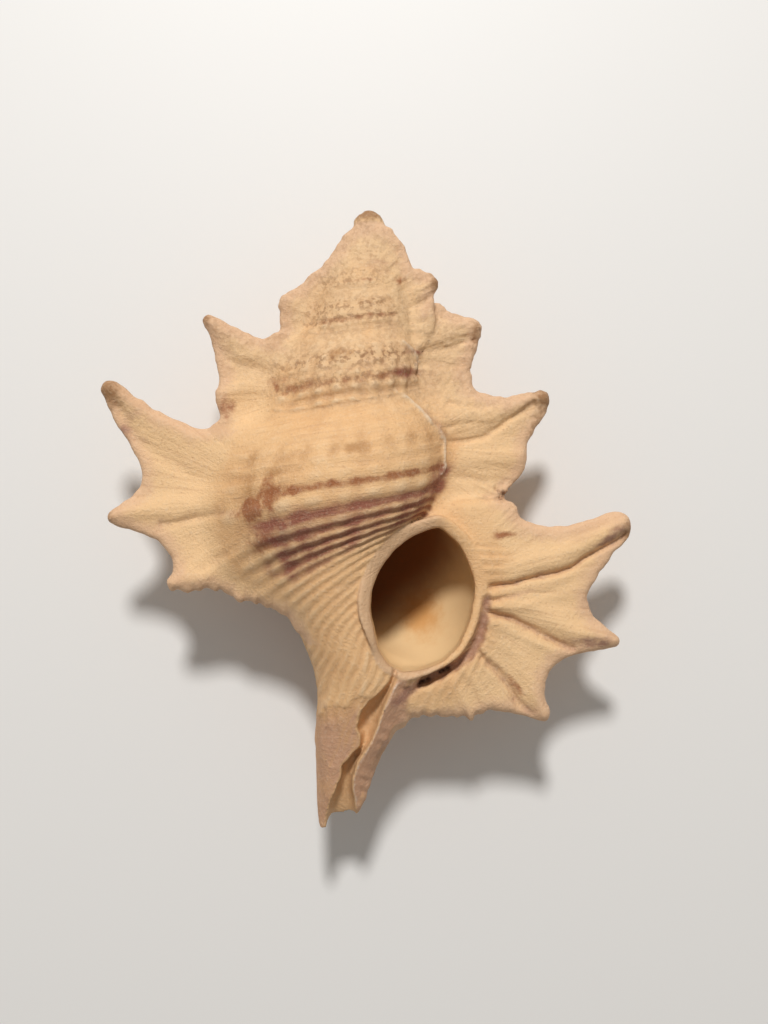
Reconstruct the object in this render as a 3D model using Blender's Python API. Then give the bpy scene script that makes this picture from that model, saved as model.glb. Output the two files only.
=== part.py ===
"""Maple leaf triton shell, lying mouth up on the hump of its back.

The shell grew as one piece, so it is one solid: a coil of whorls, a neck with an open canal, and at
each half turn a varix, the flared edge of an earlier mouth, drawn out into a flat fin with spines.
Lengths are in millimetres, with +X to the mouth's side, +Y to the apex and +Z out of the mouth.
The fins lie about z = 0 until the last step, which stands the shell on its flat over the origin.
"""

import math

import bmesh
import bpy
from mathutils import Vector

MM = 0.001
SHELL_CREAM = (0.79, 0.62, 0.42, 1.0)
SHELL_ROUGHNESS = 0.55

# The coil. Each half turn back from the mouth is the same shape, smaller by COIL_SHRINK about APEX.
APEX = Vector((0.3, 29.3, 0.0))
AXIS_TILT = math.radians(5.5)
COIL_SHRINK = 0.78
COIL_HALF_TURNS = 11
WHORL_ALONG_AXIS = 36.2
WHORL_OFF_AXIS = 8.6
WHORL_HALF_WIDTH = 6.4
WHORL_HALF_HEIGHT = 9.7
WHORL_SQUARENESS = 0.88
DEPTH_RATIO = 0.8

# The hollow inside the last turn, an oval tube that ends where a later wall would have closed it.
MOUTH_ALONG_AXIS = 37.1
MOUTH_HALF_WIDTH = 5.1
MOUTH_HALF_HEIGHT = 7.3
MOUTH_RIM_WIDTH = 1.5
MOUTH_RIM_HEIGHT = 1.1
HOLLOW_HALF_TURNS = 4.5

# A fin's surfaces, at the mouth's scale: half its thickness at the spines, its flare on the side that
# the whorl grew from, and how far its tip bends back towards that side.
FIN_EDGE = 0.55
FIN_ROOT = 1.5
FIN_FLARE = 4.6
FIN_RECURVE = 1.7
FIN_STEPS = (0.0, 0.25, 0.5, 0.75, 0.93, 1.0)

# A fin's outline around its own whorl's middle: (degrees above the outward direction, distance), in
# millimetres at the mouth's scale. It falls back to the whorl above and below.
PLAIN_FIN = (
    (-65, 11.0), (-48, 14.5), (-33, 21.0), (-26, 22.6), (-17, 21.0), (-9, 21.2), (-2, 19.6), (9, 21.4),
    (20, 24.8), (26, 27.2), (29.5, 26.4), (32, 21.4), (39, 15.4), (60, 11.5),
)
RIGHT_EARLIER_FIN = (
    (-65, 12.0), (-45, 15.5), (-28, 18.0), (-17, 18.1), (-10, 19.0), (0, 20.5), (9, 20.4), (15, 22.7),
    (24.6, 25.2), (29, 23.3), (33.6, 17.9), (40, 15.4), (54, 15.6), (70, 11.5),
)
LEFT_LAST_FIN = (
    (-96, 14.5), (-72, 14.0), (-52, 15.6), (-42, 17.6), (-38.5, 18.0), (-36, 16.4), (-26, 16.4),
    (-17, 20.3), (-12, 21.6), (-8, 20.0), (-1, 17.6), (6, 17.8), (17, 21.2), (25, 25.2),
    (29, 26.1), (31.5, 24.4), (34, 17.5), (41, 13.4), (60, 12.4),
)
MOUTH_FIN = (
    (-120, 12.5), (-97, 13.9), (-80, 11.9), (-62, 13.3), (-53, 13.3), (-45, 15.6), (-40, 17.3),
    (-36, 17.1), (-24, 14.7), (-14, 16.8), (-9, 19.8), (-6.5, 20.4), (-2, 18.6), (6, 17.0),
    (12, 17.4), (20, 21.2), (26, 22.6), (29.5, 21.8), (32, 18.4), (37, 14.6), (46, 12.6), (60, 12.6),
    (80, 10.5),
)

# The middle of the shell, as ovals across it from the worn cap on the apex to the neck's tip:
# (y, left, right, back, front). It fills the seams between the whorls and makes the base and neck.
PILLAR = (
    (30.6, -0.9, 0.6, -0.7, 0.7),
    (30.1, -1.6, 1.2, -1.3, 1.3),
    (29.2, -1.9, 1.5, -1.6, 1.6),
    (27.4, -3.1, 3.1, -1.9, 1.9),
    (24.6, -4.9, 4.4, -2.3, 2.3),
    (20.0, -6.0, 5.3, -3.3, 3.3),
    (12.0, -8.0, 6.6, -5.6, 5.6),
    (2.0, -9.0, 7.0, -9.0, 7.6),
    (-3.0, -10.4, 7.5, -9.4, 7.4),
    (-7.0, -9.6, 7.0, -8.8, 6.4),
    (-10.0, -8.0, 6.4, -7.8, 5.6),
    (-12.5, -6.8, 5.6, -6.6, 4.8),
    (-15.0, -5.6, 4.8, -5.6, 4.2),
    (-18.0, -5.1, 3.8, -4.7, 3.3),
    (-21.5, -5.6, 2.4, -3.9, 2.3),
    (-25.5, -5.4, 0.4, -3.4, 1.2),
    (-29.0, -5.4, -0.9, -3.0, 0.2),
    (-30.9, -5.2, -1.8, -2.2, -0.8),
)

# The canal's groove down the neck: (x, y, z, radius).
CANAL = (
    (4.2, -13.5, 2.4, 1.3),
    (2.0, -16.5, 3.1, 1.2),
    (0.5, -19.8, 2.9, 1.1),
    (-0.8, -22.3, 2.2, 1.0),
    (-2.1, -25.3, 1.5, 0.9),
    (-3.2, -28.6, 0.7, 0.8),
    (-3.7, -31.5, 0.0, 0.8),
)

# What it lies on: the cords of the hump are worn to a small flat this far behind the fins.
REST_DEPTH = 11.2
CUTTER_SIZE = 40.0

VOXEL = 0.34
SOFTENING_ROUNDS = 3
SURFACE_TRIANGLES = 7200

down_axis = Vector((-math.sin(AXIS_TILT), -math.cos(AXIS_TILT), 0.0))
across_axis = Vector((math.cos(AXIS_TILT), -math.sin(AXIS_TILT), 0.0))
towards_mouth = Vector((0.0, 0.0, 1.0))


def clear_scene():
    for obj in list(bpy.data.objects):
        bpy.data.objects.remove(obj, do_unlink=True)


def scale_at(half_turns):
    return COIL_SHRINK**half_turns


def outward(half_turns):
    """The direction away from the axis, which goes from the right over the back to the left."""
    turn = math.pi * half_turns
    return across_axis * math.cos(turn) - towards_mouth * math.sin(turn)


def whorl_middle(half_turns, along=WHORL_ALONG_AXIS):
    """The middle of the whorl's oval section, this many half turns back from the mouth."""
    out = outward(half_turns)
    out.z *= DEPTH_RATIO
    return APEX + scale_at(half_turns) * (along * down_axis + WHORL_OFF_AXIS * out)


def squared(value):
    """A sine or cosine pushed out, so that an oval made of them is a little squarer."""
    return math.copysign(abs(value) ** WHORL_SQUARENESS, value)


def oval(middle, side, up, count):
    turns = [math.tau * i / count for i in range(count)]
    return [middle + squared(math.cos(turn)) * side + squared(math.sin(turn)) * up for turn in turns]


def coil_oval(half_turns, half_width, half_height, along, count):
    """One oval section of the coiled tube."""
    size = scale_at(half_turns)
    side = outward(half_turns) * half_width * size
    return oval(whorl_middle(half_turns, along), side, down_axis * half_height * size, count)


def new_object(name, bm):
    mesh = bpy.data.meshes.new(name)
    bm.to_mesh(mesh)
    bm.free()
    obj = bpy.data.objects.new(name, mesh)
    bpy.context.scene.collection.objects.link(obj)
    return obj


def loft(name, rings):
    """A closed tube through rings of as many points each."""
    bm = bmesh.new()
    loops = [[bm.verts.new(point) for point in ring] for ring in rings]
    count = len(loops[0])
    for ring, following in zip(loops, loops[1:]):
        for i in range(count):
            j = (i + 1) % count
            bm.faces.new((ring[i], ring[j], following[j], following[i]))
    bm.faces.new(reversed(loops[0]))
    bm.faces.new(loops[-1])
    bmesh.ops.recalc_face_normals(bm, faces=bm.faces)
    return new_object(name, bm)


def whorls():
    steps_per_half_turn = 16
    steps = range(COIL_HALF_TURNS * steps_per_half_turn + 1)
    rings = [
        coil_oval(step / steps_per_half_turn, WHORL_HALF_WIDTH, WHORL_HALF_HEIGHT, WHORL_ALONG_AXIS, 32)
        for step in steps
    ]
    return loft("whorls", rings)


def pillar():
    rings = []
    for y, left, right, back, front in PILLAR:
        middle = Vector(((left + right) / 2, y, (back + front) / 2))
        side = Vector(((right - left) / 2, 0.0, 0.0))
        rings.append(oval(middle, side, Vector((0.0, 0.0, (front - back) / 2)), 28))
    return loft("pillar", rings)


def outline_distance(outline, degrees):
    """How far out the fin reaches in this direction, with rounded turns between the points."""
    inside = WHORL_HALF_WIDTH
    if not outline[0][0] < degrees < outline[-1][0]:
        return inside
    for (start, near), (end, far) in zip(outline, outline[1:]):
        if start <= degrees <= end:
            part = (degrees - start) / (end - start)
            return near + (far - near) * part * part * (3 - 2 * part)
    return inside


def varix(half_turns, outline):
    """A fin: two skins around its whorl's oval, thick at the root and thin at the edge."""
    size = scale_at(half_turns)
    side = 1 if half_turns % 2 == 0 else -1
    middle = whorl_middle(half_turns)
    out = across_axis * side
    grown_side = -side
    bm = bmesh.new()
    skins = []
    directions = [3.0 * i - 180.0 for i in range(120)]
    for facing in (1, -1):
        flare = FIN_FLARE if facing == grown_side else FIN_ROOT
        skin = []
        for part in FIN_STEPS:
            ring = []
            for degrees in directions:
                turn = math.radians(degrees)
                ray = out * math.cos(turn) - down_axis * math.sin(turn)
                root = 0.7 * math.hypot(
                    WHORL_HALF_WIDTH * math.cos(turn), WHORL_HALF_HEIGHT * math.sin(turn)
                )
                edge = max(outline_distance(outline, degrees), root + 0.5)
                thick = FIN_EDGE + (flare - FIN_EDGE) * (1 - part) ** 2.2
                if part == 1.0:
                    thick = 0.1
                bend = FIN_RECURVE * grown_side * part * part * (edge > WHORL_HALF_HEIGHT)
                reach = root + (edge - root) * part
                lift = towards_mouth * (facing * thick + bend)
                ring.append(bm.verts.new(middle + size * (ray * reach + lift)))
            skin.append(ring)
        skins.append(skin)
    front, back = skins
    count = len(directions)
    for skin in skins:
        for ring, following in zip(skin, skin[1:]):
            for i in range(count):
                j = (i + 1) % count
                bm.faces.new((ring[i], ring[j], following[j], following[i]))
    for end in (0, -1):
        for i in range(count):
            j = (i + 1) % count
            bm.faces.new((front[end][i], front[end][j], back[end][j], back[end][i]))
    bmesh.ops.recalc_face_normals(bm, faces=bm.faces)
    return new_object(f"varix_{half_turns}", bm)


def mouth_rim():
    """The raised lip around the mouth, as a filled oval that the hollow is cut through."""
    rings = []
    for height, inset in ((-1.5, 0.0), (MOUTH_RIM_HEIGHT - 0.4, 0.0), (MOUTH_RIM_HEIGHT, 0.5)):
        half_width = MOUTH_HALF_WIDTH + MOUTH_RIM_WIDTH - inset
        half_height = MOUTH_HALF_HEIGHT + MOUTH_RIM_WIDTH - inset
        ring = coil_oval(0, half_width, half_height, MOUTH_ALONG_AXIS, 40)
        rings.append([point + towards_mouth * height for point in ring])
    return loft("mouth_rim", rings)


def hollow():
    """The cutter for the inside: straight out of the mouth, then back along the coil."""
    size = (MOUTH_HALF_WIDTH, MOUTH_HALF_HEIGHT, MOUTH_ALONG_AXIS, 26)
    outside = [point + towards_mouth * 6.0 for point in coil_oval(0, *size)]
    steps = 32
    inside = [coil_oval(HOLLOW_HALF_TURNS * i / steps, *size) for i in range(steps + 1)]
    return loft("hollow", [outside] + inside)


def canal():
    """The cutter for the canal: a round rod along the groove."""
    route = [Vector(point[:3]) for point in CANAL]
    radii = [point[3] for point in CANAL]
    rings = []
    for i, middle in enumerate(route):
        before, after = route[max(i - 1, 0)], route[min(i + 1, len(route) - 1)]
        side = (after - before).cross(towards_mouth).normalized()
        up = side.cross(after - before).normalized()
        rings.append(oval(middle, side * radii[i], up * radii[i], 10))
    return loft("canal", rings)


def rest_cutter():
    """The cutter below the worn flat."""
    bm = bmesh.new()
    bmesh.ops.create_cube(bm, size=CUTTER_SIZE)
    bmesh.ops.translate(bm, verts=bm.verts, vec=(0.0, 0.0, -REST_DEPTH - CUTTER_SIZE / 2))
    return new_object("rest_cutter", bm)


def join(objects, name):
    """One object of several closed, overlapping bodies."""
    bm = bmesh.new()
    for obj in objects:
        bm.from_mesh(obj.data)
        bpy.data.objects.remove(obj, do_unlink=True)
    return new_object(name, bm)


def apply_modifiers(obj):
    """Puts the evaluated mesh in the object's place and takes its modifiers off."""
    graph = bpy.context.evaluated_depsgraph_get()
    mesh = bpy.data.meshes.new_from_object(obj.evaluated_get(graph))
    obj.modifiers.clear()
    obj.data = mesh


def fuse(obj):
    """Grows the overlapping bodies into one skin, then thins its triangles."""
    remesh = obj.modifiers.new("One skin", "REMESH")
    remesh.mode = "VOXEL"
    remesh.voxel_size = VOXEL
    soften = obj.modifiers.new("Soft junctions", "SMOOTH")
    soften.factor = 0.5
    soften.iterations = SOFTENING_ROUNDS
    apply_modifiers(obj)
    full = sum(len(face.vertices) - 2 for face in obj.data.polygons)
    thin = obj.modifiers.new("Fewer triangles", "DECIMATE")
    thin.ratio = SURFACE_TRIANGLES / full
    thin.use_collapse_triangulate = True
    apply_modifiers(obj)


def cut(obj, cutters):
    for cutter in cutters:
        cutter.hide_render = True
        cutter.display_type = "WIRE"
        boolean = obj.modifiers.new(cutter.name, "BOOLEAN")
        boolean.operation = "DIFFERENCE"
        boolean.solver = "EXACT"
        boolean.object = cutter
    apply_modifiers(obj)


def stand_on_origin(obj):
    """Moves the mesh so that the middle of its box's underside is the origin, and makes it metres."""
    corners = [vertex.co for vertex in obj.data.vertices]
    low = Vector(min(point[i] for point in corners) for i in range(3))
    high = Vector(max(point[i] for point in corners) for i in range(3))
    base = Vector(((low.x + high.x) / 2, (low.y + high.y) / 2, low.z))
    for vertex in obj.data.vertices:
        vertex.co = (vertex.co - base) * MM


def shell_material():
    material = bpy.data.materials.new("shell")
    material.use_nodes = True
    surface = material.node_tree.nodes["Principled BSDF"]
    surface.inputs["Base Color"].default_value = SHELL_CREAM
    surface.inputs["Roughness"].default_value = SHELL_ROUGHNESS
    surface.inputs["Metallic"].default_value = 0.0
    return material


clear_scene()
fins = [varix(0, MOUTH_FIN), varix(1, LEFT_LAST_FIN), varix(2, RIGHT_EARLIER_FIN)]
fins += [varix(half_turns, PLAIN_FIN) for half_turns in range(3, 9)]
shell = join([whorls(), pillar(), mouth_rim()] + fins, "shell")
fuse(shell)
cutters = [hollow(), canal(), rest_cutter()]
cut(shell, cutters)
for cutter in cutters:
    bpy.data.objects.remove(cutter, do_unlink=True)
stand_on_origin(shell)
shell.data.materials.clear()
shell.data.materials.append(shell_material())
shell.data.shade_smooth()
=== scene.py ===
import math

import bpy
import numpy as np
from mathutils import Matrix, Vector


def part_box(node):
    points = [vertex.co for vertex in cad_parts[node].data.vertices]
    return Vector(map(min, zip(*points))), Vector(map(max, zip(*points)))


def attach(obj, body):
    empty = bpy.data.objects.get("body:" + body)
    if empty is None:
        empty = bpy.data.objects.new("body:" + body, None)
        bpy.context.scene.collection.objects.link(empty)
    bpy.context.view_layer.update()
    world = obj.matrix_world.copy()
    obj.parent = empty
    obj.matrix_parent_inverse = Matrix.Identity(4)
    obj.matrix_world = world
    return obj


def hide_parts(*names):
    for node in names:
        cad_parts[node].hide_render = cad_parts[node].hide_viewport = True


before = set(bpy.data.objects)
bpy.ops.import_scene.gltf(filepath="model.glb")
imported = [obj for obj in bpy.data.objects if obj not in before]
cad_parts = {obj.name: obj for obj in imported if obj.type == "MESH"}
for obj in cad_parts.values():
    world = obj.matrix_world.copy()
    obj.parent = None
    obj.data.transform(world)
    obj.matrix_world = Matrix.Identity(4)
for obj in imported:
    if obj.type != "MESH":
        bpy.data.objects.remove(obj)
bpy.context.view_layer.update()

import openvdb

# ---------------------------------------------------------------------------------------------
# The coil. A sea snail adds to the edge of its shell in bouts of half a turn, each the same shape
# as the last and larger by a fixed ratio, so every whorl is one tube wound about one axis, with a
# sloping shoulder. Lengths are mm from the fins' plane: +X to the mouth's side, +Y to the apex, +Z out.
APEX = (0.3, 29.3)
AXIS_TILT = math.radians(5.5)
COIL_SHRINK = 0.78
WHORLS = 6
WHORL_ALONG_AXIS = 36.2
WHORL_OFF_AXIS = 8.6
WHORL_HALF_WIDTH = 6.4
WHORL_HALF_HEIGHT = 9.7
OVAL_POWER = 2.27
SHOULDER_SLOPE = 0.26
DEPTH_RATIO = 0.8
LIP_FRONT = 0.5
SEAM_FILLET = 2.4
SHOULDER_ROUNDING = 3.0

FAR_OUTSIDE = 50.0
GRID_STEP = 0.22
GRID_LOW = (-27.6, -32.4, -12.8)
GRID_HIGH = (27.8, 31.8, 10.8)
x, y, z = np.meshgrid(
    *(np.arange(low, high, GRID_STEP, dtype=np.float32) for low, high in zip(GRID_LOW, GRID_HIGH)),
    indexing="ij",
    sparse=True,
)


def along_axis(px, py):
    """How far down the shell's axis from its apex a place is."""
    return -(px - APEX[0]) * math.sin(AXIS_TILT) - (py - APEX[1]) * math.cos(AXIS_TILT)


def across_axis(px, py):
    """How far to the right of the shell's axis a place is."""
    return (px - APEX[0]) * math.cos(AXIS_TILT) - (py - APEX[1]) * math.sin(AXIS_TILT)


def oval_distance(side, up, half_width, half_height, power=OVAL_POWER):
    """About how far outside an oval a point is."""
    u = np.abs(side) / half_width
    v = np.abs(up) / half_height
    reach = (u**power + v**power) ** (1 / power) + 1e-6
    slope = np.hypot((u / reach) ** (power - 1) / half_width, (v / reach) ** (power - 1) / half_height)
    return (reach - 1.0) / slope


def smooth_min(a, b, reach):
    """Two solids as one, with a fillet about as wide as reach where they meet."""
    blend = np.maximum(reach - np.abs(a - b), 0.0) / reach
    return np.minimum(a, b) - blend * blend * reach * 0.25


def smooth_max(a, b, reach):
    return -smooth_min(-a, -b, reach)


def smooth_step(value, start, end):
    """0 before start and 1 after end, easing between them."""
    part = np.clip((value - start) / (end - start), 0.0, 1.0)
    return part * part * (3.0 - 2.0 * part)


def half_turns_back(px, py, pz):
    """Half turns back from the lip, for the last whorl at this bearing round the axis."""
    turn = np.arctan2(-pz, across_axis(px, py)) / math.pi
    return np.where(turn < -0.5, turn + 2.0, turn)


def tube_section(half_turns, px, py, pz, along):
    """(out from the tube's middle, down from it, size), at the scale of the last mouth."""
    size = COIL_SHRINK**half_turns
    bearing = np.sin(math.pi * half_turns)
    off_axis = WHORL_OFF_AXIS * (1.0 - (1.0 - DEPTH_RATIO) * bearing * bearing)
    radius = np.hypot(across_axis(px, py), pz)
    return radius / size - off_axis, along_axis(px, py) / size - along, size


def tube_distance(half_turns, px, py, pz, half_width, half_height, along):
    out, down, size = tube_section(half_turns, px, py, pz, along)
    slope = SHOULDER_SLOPE * smooth_step(half_turns, 0.0, 0.5)
    out = out + slope * 0.5 * (np.sqrt(down * down + SHOULDER_ROUNDING**2) - down)
    return size * oval_distance(out, down, half_width, half_height)


def whorl_tubes(px, py, pz):
    """(distance outside a whorl, half turns back along it) from the last whorl to the first."""
    turns = half_turns_back(px, py, pz)
    tubes = []
    for whorl in range(WHORLS):
        tube = tube_distance(
            turns + 2 * whorl, px, py, pz, WHORL_HALF_WIDTH, WHORL_HALF_HEIGHT, WHORL_ALONG_AXIS
        )
        if whorl == 0:
            tube = np.where(turns < 0.5, np.maximum(tube, pz - LIP_FRONT), tube)
        tubes.append((tube, turns + 2 * whorl))
    return tubes


body = np.full(np.broadcast_shapes(x.shape, y.shape, z.shape), FAR_OUTSIDE, np.float32)
for whorl, (tube, turns) in enumerate(whorl_tubes(x, y, z)):
    body = smooth_min(body, tube.astype(np.float32), SEAM_FILLET * COIL_SHRINK ** (2 * whorl))

# ---------------------------------------------------------------------------------------------
# The pillar: the solid shell that the snail laid down about the axis as it wound round it. It shows
# as the worn cap on the apex, the filled seams of the spire, and the base that draws in to the
# neck, where the canals of all the earlier mouths lie over each other.
PILLAR = (
    # y, left, right, back, front
    (30.6, -0.3, 0.1, -0.2, 0.2),
    (30.35, -0.9, 0.7, -0.6, 0.6),
    (30.0, -1.35, 1.15, -1.1, 1.1),
    (29.5, -1.65, 1.45, -1.4, 1.4),
    (28.9, -1.7, 1.5, -1.4, 1.4),
    (27.4, -2.7, 2.6, -1.7, 1.7),
    (24.6, -4.4, 3.6, -2.3, 2.3),
    (20.0, -5.6, 4.2, -3.2, 3.2),
    (12.0, -7.4, 4.6, -5.2, 5.2),
    (5.0, -8.6, 5.0, -7.4, 6.0),
    (2.0, -9.0, 5.4, -9.0, 6.6),
    (-3.0, -9.8, 4.2, -9.2, 6.2),
    (-7.0, -9.2, 3.2, -8.4, 5.2),
    (-10.0, -7.9, 3.2, -7.4, 4.6),
    (-12.5, -6.7, 3.8, -6.4, 4.2),
    (-15.0, -5.6, 4.4, -5.4, 3.9),
    (-18.0, -5.1, 4.2, -4.7, 3.3),
    (-21.5, -5.6, 2.4, -3.9, 2.4),
    (-25.5, -5.4, 0.5, -3.4, 1.2),
    (-28.5, -5.4, -0.5, -3.0, 0.4),
    (-30.4, -5.3, -1.4, -2.5, -0.6),
    (-31.4, -5.0, -2.0, -2.0, -1.2),
)
PILLAR_SOFTENING = (-1.0, -0.5, 0.0, 0.5, 1.0)
CAP_FROM = 26.0
CAP_SOFTENING = 0.25
PILLAR_MIDDLE = -0.4
PILLAR_HALF_LENGTH = 31.0
PILLAR_FILLET = 1.2
BASE_FILLET_GAIN = 1.4


def pillar_size(column, py):
    """One column of the table, with the corners between its rows rounded off."""
    rows = np.array(PILLAR[::-1])
    reach = np.where(py > CAP_FROM, CAP_SOFTENING, 1.0)
    sizes = [np.interp(py + shift * reach, rows[:, 0], rows[:, column]) for shift in PILLAR_SOFTENING]
    return sum(sizes) / len(sizes)


left, right, back, front = (pillar_size(column, y).astype(np.float32) for column in (1, 2, 3, 4))
pillar = oval_distance(
    x - (left + right) / 2, z - (back + front) / 2, (right - left) / 2, (front - back) / 2, 2.0
)
pillar = np.maximum(pillar, np.abs(y - PILLAR_MIDDLE) - PILLAR_HALF_LENGTH)
fillet = PILLAR_FILLET + BASE_FILLET_GAIN * smooth_step(-y, -10.0, -4.0)
body = smooth_min(body, pillar, fillet.astype(np.float32))

# ---------------------------------------------------------------------------------------------
# The fins. At each half turn the snail stopped and drew the edge of its mouth out into a flat fin
# with spines. On the side that grew first it flares smoothly out of the whorl; on the other side it
# is the old mouth's face, and the next half turn starts inside it.
MOUTH_FIN = (
    (8.0, 2.0), (13.9, 1.7), (15.2, -0.2), (18.0, -1.0), (20.5, -0.7), (22.6, 0.0), (24.4, 0.5),
    (25.6, 0.4), (26.2, -0.6), (26.0, -2.1), (24.4, -3.7), (22.8, -6.0), (21.9, -8.0), (22.2, -9.5),
    (23.4, -10.8), (24.8, -11.8), (25.1, -12.6), (24.4, -13.2), (22.5, -13.5), (20.0, -14.0),
    (18.4, -15.0), (17.6, -16.4), (17.6, -18.2), (18.1, -19.6), (17.7, -20.5), (16.8, -20.4),
    (15.0, -19.9), (12.5, -19.4), (11.2, -19.7), (10.2, -20.3), (9.2, -20.0), (7.0, -20.0),
    (5.0, -19.9), (3.9, -20.5), (2.8, -21.4), (1.6, -22.7), (0.0, -21.5), (-2.0, -12.0), (-1.0, -2.0),
)
LEFT_LAST_FIN = (
    (-4.0, 8.0), (-11.5, 9.6), (-14.8, 9.1), (-17.0, 8.9), (-18.8, 9.6), (-21.2, 10.6), (-23.4, 12.1),
    (-25.2, 13.3), (-26.2, 13.3), (-26.5, 12.3), (-25.8, 10.8), (-25.0, 9.0), (-23.6, 6.8),
    (-22.8, 5.0), (-22.8, 3.2), (-23.9, 1.9), (-25.4, 0.8), (-26.0, 0.0), (-25.4, -0.8),
    (-23.0, -1.5), (-21.0, -2.4), (-19.9, -3.9), (-19.6, -5.4), (-20.2, -6.4), (-19.8, -7.3),
    (-18.0, -7.4), (-16.0, -7.2), (-14.8, -7.4), (-13.4, -8.4), (-11.6, -8.5), (-9.8, -9.2),
    (-8.2, -9.8), (-7.0, -11.4), (-4.0, -12.0), (-1.0, -4.0),
)
RIGHT_EARLIER_FIN = (
    (3.0, 14.0), (9.6, 14.8), (10.4, 13.0), (12.0, 12.2), (14.0, 12.1), (16.4, 12.6), (17.7, 12.5),
    (18.0, 11.6), (17.6, 10.4), (16.6, 8.8), (15.8, 7.2), (15.8, 5.6), (15.2, 4.2), (13.9, 2.7),
    (12.0, 0.5), (8.0, -1.0), (4.0, 0.0),
)
LEFT_EARLIER_FIN = (
    (-5.0, 17.0), (-10.6, 17.8), (-12.6, 18.6), (-14.4, 19.4), (-15.6, 20.1), (-16.4, 20.0),
    (-16.6, 19.2), (-16.1, 18.0), (-15.6, 16.6), (-15.2, 15.0), (-14.9, 13.5), (-15.4, 12.2),
    (-15.2, 10.8), (-14.9, 9.8), (-15.8, 8.6), (-12.0, 7.0), (-6.0, 8.0),
)
RIGHT_THIRD_FIN = (
    (2.0, 20.0), (6.6, 21.4), (7.8, 20.5), (9.2, 20.2), (10.4, 20.0), (11.0, 19.5), (11.1, 18.5),
    (10.8, 17.2), (10.3, 16.0), (10.0, 14.8), (9.4, 13.6), (7.0, 11.0), (3.0, 12.0),
)
SPIRE_EDGE = (
    # the small old fins of the spire, grown together into one edge on each side
    (-1.2, 28.9), (-2.3, 28.2), (-3.0, 27.3), (-3.9, 26.0), (-5.1, 24.8), (-6.2, 23.9), (-6.9, 23.2),
    (-8.0, 22.6), (-8.8, 21.9), (-9.1, 21.0), (-8.9, 19.8), (-9.1, 18.6), (-10.1, 17.6), (-9.0, 15.5),
    (0.0, 13.0), (6.0, 18.0), (6.4, 20.6), (6.4, 21.9), (6.8, 23.1), (6.4, 24.0), (5.5, 24.4),
    (4.3, 24.8), (4.0, 25.4), (3.8, 26.2), (3.3, 27.1), (2.5, 28.0), (1.7, 28.8),
)
OUTLINE_STEPS = 6
FIN_EDGE = 0.45
FACE_HEIGHT = 1.2
FACE_WIDTH = 3.5
FLARE_HEIGHT = 2.3
FLARE_WIDTH = 5.0
FLARE_ROUNDING = 5.0
FLARE_FILLET = 6.0
FACE_FILLET = 0.7
SHALLOW_FACE_FILLET = 2.6
THIN_FILLET = 0.6
FACE_FILLET_END = 4.5
FLARE_FILLET_END = 9.0
FIN_RECURVE = 1.7
RECURVE_REACH = 17.0
EDGE_ROUGHNESS = 0.11
STOP_SPACING = 1.35
SCALLOP_DEPTH = 0.15
RIDGE_SHOWN_BEHIND = 0.6

# The ribs that run out into the spines, and the grooves beside them:
# (points, height at the start, at the end, half width at the start, at the end)
MOUTH_FIN_LINES = (
    (
        ((10.5, -4.6), (14.5, -4.9), (18.0, -4.2), (21.0, -2.9), (23.5, -1.5), (25.4, -0.7)),
        0.3, 0.9, 1.7, 1.0,
    ),
    (
        ((11.8, -6.8), (14.4, -6.5), (17.3, -5.9), (20.1, -5.0), (22.2, -3.8), (23.9, -2.6), (25.5, -1.6)),
        -0.6, -0.7, 0.25, 0.32,
    ),
    (((11.9, -8.2), (14.0, -7.8), (16.1, -7.5)), -0.5, -0.1, 0.25, 0.25),
    (((13.0, -8.8), (15.8, -9.2), (18.2, -10.2), (21.0, -11.4), (24.4, -12.2)), 0.25, 0.7, 1.1, 0.8),
    (((11.8, -9.3), (14.2, -10.2), (16.3, -11.2), (18.4, -12.1), (20.4, -12.9)), -0.7, -0.4, 0.3, 0.35),
    (((12.4, -11.6), (14.4, -13.8), (16.0, -16.2), (17.0, -18.2), (17.6, -19.9)), 0.1, 0.6, 1.4, 0.8),
    (((10.6, -12.8), (12.3, -15.0), (13.9, -16.9), (14.9, -18.3), (16.0, -19.6)), -0.5, -0.4, 0.35, 0.3),
    (((7.4, -15.8), (9.2, -18.0), (10.1, -20.2)), 0.1, 0.35, 1.0, 0.6),
    (((12.2, -7.7), (14.6, -7.9), (17.2, -7.1), (19.4, -6.0)), 0.25, 0.1, 0.35, 0.5),
    (((12.2, -8.7), (15.0, -8.9), (18.0, -8.4), (20.6, -7.4)), 0.22, 0.1, 0.4, 0.6),
    (((12.4, -10.2), (15.8, -12.2), (18.4, -13.4)), 0.2, 0.15, 0.4, 0.6),
    (((11.2, -13.0), (13.2, -15.8), (14.4, -18.6)), 0.2, 0.1, 0.5, 0.5),
    (((9.0, -14.9), (11.0, -17.4), (12.6, -19.2)), 0.15, 0.1, 0.5, 0.5),
)
LEFT_LAST_LINES = (
    (((-12.0, 6.6), (-16.0, 7.6), (-20.0, 9.4), (-23.5, 11.5), (-25.8, 12.8)), 0.3, 0.6, 2.6, 1.1),
    (((-13.0, 3.4), (-18.0, 4.2), (-20.9, 5.7), (-23.3, 8.0), (-25.0, 10.8)), -0.1, -0.25, 0.9, 0.5),
    (((-13.5, 1.7), (-19.0, 1.1), (-25.6, 0.0)), 0.25, 0.65, 1.6, 0.9),
    (((-11.0, 0.9), (-16.5, 0.1), (-20.7, -0.6)), -0.35, -0.2, 0.4, 0.35),
    (((-11.5, -3.6), (-16.0, -5.2), (-19.9, -6.6)), 0.25, 0.6, 1.6, 0.9),
    (((-11.0, -2.1), (-14.3, -3.7), (-17.0, -5.0)), -0.3, -0.15, 0.4, 0.35),
    (((-9.5, -6.2), (-11.5, -8.4)), 0.2, 0.35, 0.9, 0.7),
)
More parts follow.
